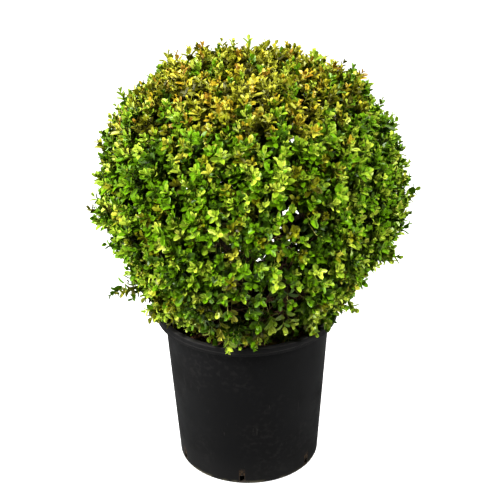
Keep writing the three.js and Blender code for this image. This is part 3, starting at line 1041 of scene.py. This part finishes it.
def growTwigs():
    # Each set of twigs holds their feet, bends, tips and masses
    numbers = np.random.default_rng(growth["seed"])
    rule = seededNumbers(crown["seed"])
    spray = evenDirections(growth["sprays"], rule)
    sprayMass = nearest(spray, massDirections)
    spray = drawnIn(spray, sprayMass)

    forks, forkMass = forkDirections()
    stemFoot = atReach(massDirections, limbs["stemReach"])
    stemTip = atReach(massDirections, growth["forkReach"] - growth["stemShort"])
    sets = [(stemFoot, (stemFoot + stemTip) / 2, stemTip, np.arange(len(masses)))]
    forkFoot = stemTip[forkMass]
    forkTip = atReach(forks, growth["forkReach"])
    forkBend = (forkFoot + forkTip) / 2 + massDirections[forkMass] * growth["forkLift"]
    sets.append((forkFoot, forkBend, forkTip, forkMass))

    sprayFoot = forkTip[nearest(spray, forks, sprayMass, forkMass)]
    sprayTip = atReach(spray, growth["sprayReach"])
    sprayBend = (sprayFoot + sprayTip) / 2 + numbers.normal(0, growth["sprayWander"], sprayTip.shape)
    sets.append((sprayFoot, sprayBend, sprayTip, sprayMass))

    small = evenDirections(growth["branchlets"], rule)
    smallMass = nearest(small, massDirections)
    parent = nearest(small, spray, smallMass, sprayMass)
    along = numbers.uniform(*growth["branchletFoot"], (len(small), 1))
    smallFoot = alongBend(along, sprayFoot[parent], sprayBend[parent], sprayTip[parent])
    smallTip = atReach(small, numbers.uniform(*growth["branchletReach"], len(small)))
    smallBend = (smallFoot + smallTip) / 2 + small * growth["branchletLift"]
    smallBend = smallBend + numbers.normal(0, growth["branchletWander"], smallTip.shape)
    sets.append((smallFoot, smallBend, smallTip, smallMass))

    shoot, share, pull, full = shootPlaces(numbers, rule)
    parent = nearest(shoot, small)
    along = numbers.uniform(*growth["shootFoot"], (len(shoot), 1))
    foot = alongBend(along, smallFoot[parent], smallBend[parent], smallTip[parent])
    clump = numbers.normal(0, growth["clumps"], len(small))[parent]
    outgrown = share > growth["fullestReach"]
    tip = atReach(shoot, share + np.where(outgrown, 0, clump))
    heading = unit(shoot + pull[:, None] * [[0, 0, 1]] + numbers.normal(0, growth["wander"], shoot.shape))
    bend = tip - heading * np.linalg.norm(tip - foot, axis=1, keepdims=True) * 0.5
    clear = keptApart(tip) & keptApart(bend) & keptApart((tip + foot + 2 * bend) / 4)
    clear &= withinReach(tip, growth["tipRoom"])
    shoots = {"foot": foot, "bend": bend, "tip": tip, "mass": nearest(shoot, massDirections)}
    shoots |= {"toward": shoot, "full": full, "long": outgrown}
    shoots = {key: value[clear] for key, value in shoots.items()}
    sets.append([shoots[key] for key in ("foot", "bend", "tip", "mass")])
    return sets, shoots


def makeTwigs(sets):
    brown = plainMaterial("twig_brown", growth["brown"], 0.8)
    green = plainMaterial("young_twig", growth["green"], 0.6)
    for order, mass in enumerate(masses):
        vertices, faces, tints = [], [], []
        offset = 0
        for (*ends, owner), (thick, thin, steps, tint) in zip(sets, growth["levels"]):
            course = [points[owner == order] for points in ends]
            points, quads = tubes(*course, thick, thin, growth["sides"], steps)
            vertices.append(points)
            faces.append(quads + offset)
            tints.append(np.full(len(quads), tint))
            offset += len(points)
        piece = meshObject("twigs_" + mass["name"], np.concatenate(vertices), faces, np.concatenate(tints))
        place(piece, [brown, green], ["foliage_" + mass["name"]])


# Leaves, in crossed pairs along each shoot

boxLeaf = {
    "length": 0.0160,
    "width": 0.52,  # share of the length
    "fold": 0.40,
    "arch": 0.18,
    "outline": ((0.08, 0.34), (0.30, 0.88), (0.62, 1.00), (0.88, 0.74)),
    "crease": 34,  # degrees: the midrib stays a sharp line
    "sunTurn": 0.5,  # how far the blades twist to face the light
    "light": 0.8,  # how much of it comes from above
    "pairGap": 0.0071,
    "gapSpread": (0.8, 1.25),
    "firstPair": 0.0006,  # how far below the shoot's tip
    "lastPair": 0.97,  # how far down the shoot, as a share of it
    "turnSpread": 0.16,  # of a pair, in radians as the next three
    "bladeSpread": 0.10,
    "leanSpread": 0.15,
    "rollSpread": 0.30,
    "lean": (18, 34, 44, 50, 54, 58, 62, 66, 68, 70, 70),  # degrees off the twig, from its tip down
    "size": (0.62, 0.86, 1.0, 1.04, 1.04, 1.0, 1.0, 1.0, 1.0, 1.0, 1.0),
    "standing": (1.0, 1.0, 1.0, 1.0, 0.96, 0.92, 0.85, 0.75, 0.65, 0.55, 0.5),  # share still on the twig
    "alwaysFull": 3,  # pairs that a thin spot leaves as they are
    "shootSizes": (0.82, 1.14),
    "leafSizes": (0.85, 1.12),
    "leafWidths": (0.82, 1.12),
    "lowWidth": 1.3,  # how much rounder the leaves are under the crown
    "roughness": 0.40,
    "specular": 0.28,
    # Two ladders of tints, each from the oldest leaf to the youngest: six greens, then seven sunned ones
    "tints": {
        "forest": (0.042, 0.088, 0.001),
        "green": (0.100, 0.188, 0.002),
        "jade": (0.132, 0.252, 0.004),
        "fresh": (0.214, 0.300, 0.022),
        "lime": (0.338, 0.408, 0.052),
        "citrus": (0.405, 0.440, 0.078),
        "umber": (0.064, 0.064, 0.001),
        "olive": (0.142, 0.148, 0.002),
        "khaki": (0.250, 0.262, 0.018),
        "straw": (0.370, 0.370, 0.048),
        "ochre": (0.415, 0.375, 0.034),
        "amber": (0.370, 0.285, 0.022),
        "bronze": (0.250, 0.155, 0.013),
    },
    # How often a shoot takes each tint, by where it stands
    "tintOdds": {
        "top": (0.02, 0.03, 0.03, 0.05, 0.06, 0.02, 0.07, 0.14, 0.17, 0.16, 0.12, 0.11, 0.08),
        "middle": (0.08, 0.18, 0.17, 0.23, 0.17, 0.03, 0.01, 0.05, 0.06, 0.02, 0, 0, 0),
        "right": (0.04, 0.12, 0.26, 0.32, 0.21, 0.04, 0, 0, 0.01, 0, 0, 0, 0),
        "low": (0.07, 0.13, 0.10, 0.23, 0.26, 0.04, 0.01, 0.04, 0.09, 0.03, 0, 0, 0),
    },
    "dropped": ("straw", "bronze", "umber"),  # the tints of the leaves that lie on the mix
}
firstSunned = list(boxLeaf["tints"]).index("umber")


def dealTints(toward, numbers):
    top = smoothStep(toward[:, 2], 0.52, 0.94)
    low = smoothStep(-toward[:, 2], 0.10, 0.60)
    right = smoothStep(toward[:, 0], 0.20, 0.80) * (1 - top) * (1 - low)
    middle = np.clip(1 - top - low - right, 0, 1)
    zones = {"top": top, "middle": middle, "right": right, "low": low}
    odds = sum(share[:, None] * np.array(boxLeaf["tintOdds"][zone]) for zone, share in zones.items())
    odds = np.cumsum(odds, axis=1) / odds.sum(1, keepdims=True)
    return (numbers.random((len(toward), 1)) > odds).sum(1).clip(0, len(boxLeaf["tints"]) - 1)


def agedTints(toward, pairs, numbers):
    # The tint of each shoot's tip, older down the shoot, and a step off here and there
    tint = dealTints(toward, numbers)[:, None, None]
    age = np.minimum(np.arange(pairs) // 2, 3)[None, :, None]
    floor = np.where(tint >= firstSunned, firstSunned, 0)
    step = tint - floor
    fading = np.where(step >= 4, age + (step >= 5) * (age > 0), (age + 1) // 2)
    drift = numbers.choice([-1, 0, 0, 0, 1], (len(toward), pairs, 2))
    return floor + np.clip(step - fading + drift, 0, np.maximum(step, 1))


def leafTemplate():
    # Points along, across and off the blade, and its faces, folded along the midrib
    outline = boxLeaf["outline"]
    flat = [(0, 0), (0.5, 0), (1, 0)]
    flat += [(x, y / 2) for x, y in outline] + [(x, -y / 2) for x, y in outline]
    along, across = np.array(flat).T
    off = boxLeaf["fold"] * np.abs(across) * boxLeaf["width"] - boxLeaf["arch"] * along**2
    count = len(outline)
    left = [0, *range(3, 3 + count), 2]
    right = [0, *range(3 + count, 3 + 2 * count), 2]
    faces = [(1, b, a) for a, b in zip(left, left[1:])] + [(1, a, b) for a, b in zip(right, right[1:])]
    return (along, across, off), np.array(faces)


def leafMesh(root, grow, across, face, length, width):
    template, faces = leafTemplate()
    sizes = (length, length * width, length)
    vertices = root[:, None]
    for share, size, axis in zip(template, sizes, (grow, across, face)):
        vertices = vertices + share[None, :, None] * size[:, None, None] * axis[:, None]
    return vertices, faces


def crossedPairs(shoots, numbers):
    # How far down its shoot each pair stands, and each leaf's root, growth and blade
    pairs = len(boxLeaf["lean"])
    count = len(shoots["tip"])
    rank = np.arange(pairs)[None]
    foot, bend, tip = (shoots[key][:, None] for key in ("foot", "bend", "tip"))
    gap = boxLeaf["pairGap"] * numbers.uniform(*boxLeaf["gapSpread"], (count, 1))
    below = (rank * gap + boxLeaf["firstPair"]) / np.linalg.norm(tip - foot, axis=2)
    share = 1 - below[..., None]
    root = alongBend(share, foot, bend, tip)
    twig = unit(2 * (1 - share) * (bend - foot) + 2 * share * (tip - bend))
    side = unit(np.cross(twig, [0.21, 0.96, 0.17]))
    turn = numbers.uniform(0, math.pi, (count, 1)) + rank * math.pi / 2
    turn = turn + numbers.normal(0, boxLeaf["turnSpread"], (count, pairs))
    turn = np.stack([turn, turn + math.pi], -1) + numbers.normal(0, boxLeaf["bladeSpread"], (count, pairs, 2))
    lean = np.radians(boxLeaf["lean"])[None, :, None]
    lean = (lean + numbers.normal(0, boxLeaf["leanSpread"], (count, pairs, 2)))[..., None]
    out = around(turn, side[:, :, None], np.cross(twig, side)[:, :, None])
    grow = twig[:, :, None] * np.cos(lean) + out * np.sin(lean)
    face = twig[:, :, None] * np.sin(lean) - out * np.cos(lean)
    roll = numbers.normal(0, boxLeaf["rollSpread"], (count, pairs, 2, 1))
    face = face * np.cos(roll) + np.cross(face, grow) * np.sin(roll)
    face = face + boxLeaf["sunTurn"] * unit(shoots["toward"] + [0, 0, boxLeaf["light"]])[:, None, None]
    face = unit(face - grow * (face * grow).sum(-1, keepdims=True))
    root = np.broadcast_to(root[:, :, None], grow.shape)
    return below, {"root": root, "grow": grow, "across": np.cross(face, grow), "face": face}


def growLeaves(shoots, numbers):
    below, vectors = crossedPairs(shoots, numbers)
    count, pairs = below.shape
    each = (count, pairs, 2)
    shootSizes = numbers.uniform(*boxLeaf["shootSizes"], (count, 1, 1))
    size = boxLeaf["length"] * np.array(boxLeaf["size"])[None, :, None] * shootSizes
    size = size * numbers.uniform(*boxLeaf["leafSizes"], each)
    rounder = 1 + (boxLeaf["lowWidth"] - 1) * smoothStep(-shoots["toward"][:, 2], 0.0, 0.6)[:, None, None]
    width = boxLeaf["width"] * (numbers.uniform(*boxLeaf["leafWidths"], each) * rounder)
    held = growth["thinBare"] + (1 - growth["thinBare"]) * shoots["full"][:, None, None]
    held = np.where(np.arange(pairs)[None, :, None] < boxLeaf["alwaysFull"], 1, held)
    standing = numbers.random(each) < np.array(boxLeaf["standing"])[None, :, None] * held
    standing |= shoots["long"][:, None, None]
    standing &= (below < boxLeaf["lastPair"])[..., None]
    tint = agedTints(shoots["toward"], pairs, numbers)
    rest = {"length": size, "width": width, "tint": tint, "owner": shoots["mass"][:, None, None]}
    leaves = {key: value[standing] for key, value in vectors.items()}
    return leaves | {key: np.broadcast_to(value, each)[standing] for key, value in rest.items()}


def makeLeaves(shoots):
    numbers = np.random.default_rng(growth["seed"] + 1)
    finish = (boxLeaf["roughness"], boxLeaf["specular"])
    materials = [plainMaterial("leaf_" + name, tint, *finish) for name, tint in boxLeaf["tints"].items()]
    leaves = growLeaves(shoots, numbers)
    vertices, one = leafMesh(*(leaves[key] for key in ("root", "grow", "across", "face", "length", "width")))
    clear = (keptApart(vertices) & withinReach(vertices)).all(1)
    total = 0
    for order, mass in enumerate(masses):
        chosen = clear & (leaves["owner"] == order)
        own = vertices[chosen]
        tints = np.repeat(leaves["tint"][chosen], len(one))
        piece = meshObject("leaves_" + mass["name"], own, [repeated(one, *own.shape[:2])], tints)
        piece.data.set_sharp_from_angle(angle=math.radians(boxLeaf["crease"]))
        place(piece, materials, ["foliage_" + mass["name"]])
        total += len(own)
    print("leaves:", total, "in faces:", total * len(one))


def scatterFallenLeaves():
    # Old leaves that have dropped onto the mix, lying flat
    numbers = np.random.default_rng(barkMix["seed"] + 1)
    count = barkMix["fallenLeaves"]
    grow, across, face = turnedBasis(numbers, count, 0.2)
    length = boxLeaf["length"] * numbers.uniform(0.7, 1.0, count)
    width = np.full(count, boxLeaf["width"])
    vertices, one = leafMesh(scatterOnMix(numbers, count, 0.004), grow, across, face, length, width)
    lying = keptApart(vertices).all(1)
    vertices = vertices[lying]
    dropped = {name: boxLeaf["tints"][name] for name in boxLeaf["dropped"]}
    materials = [plainMaterial("dropped_leaf_" + name, tint, 0.7) for name, tint in dropped.items()]
    tints = np.repeat(numbers.integers(0, len(materials), len(vertices)), len(one))
    fallen = meshObject("fallen_leaves", vertices, [repeated(one, *vertices.shape[:2])], tints)
    place(fallen, materials)


# Making


addCamera()
for softbox in ("key", "side", "fill", "back"):
    addSoftbox(softbox)
addSurroundings()
addFloor()
print("camera, light and floor are set")

makePot()
print("pot made")
makeMixBed()
makeChips()
print("potting mix made")
makeLimbs()
print("trunk and boughs made")
twigSets, shoots = growTwigs()
makeTwigs(twigSets)
print("twigs made:", sum(len(twigs[0]) for twigs in twigSets))
makeLeaves(shoots)
scatterFallenLeaves()

bpy.context.view_layer.update()
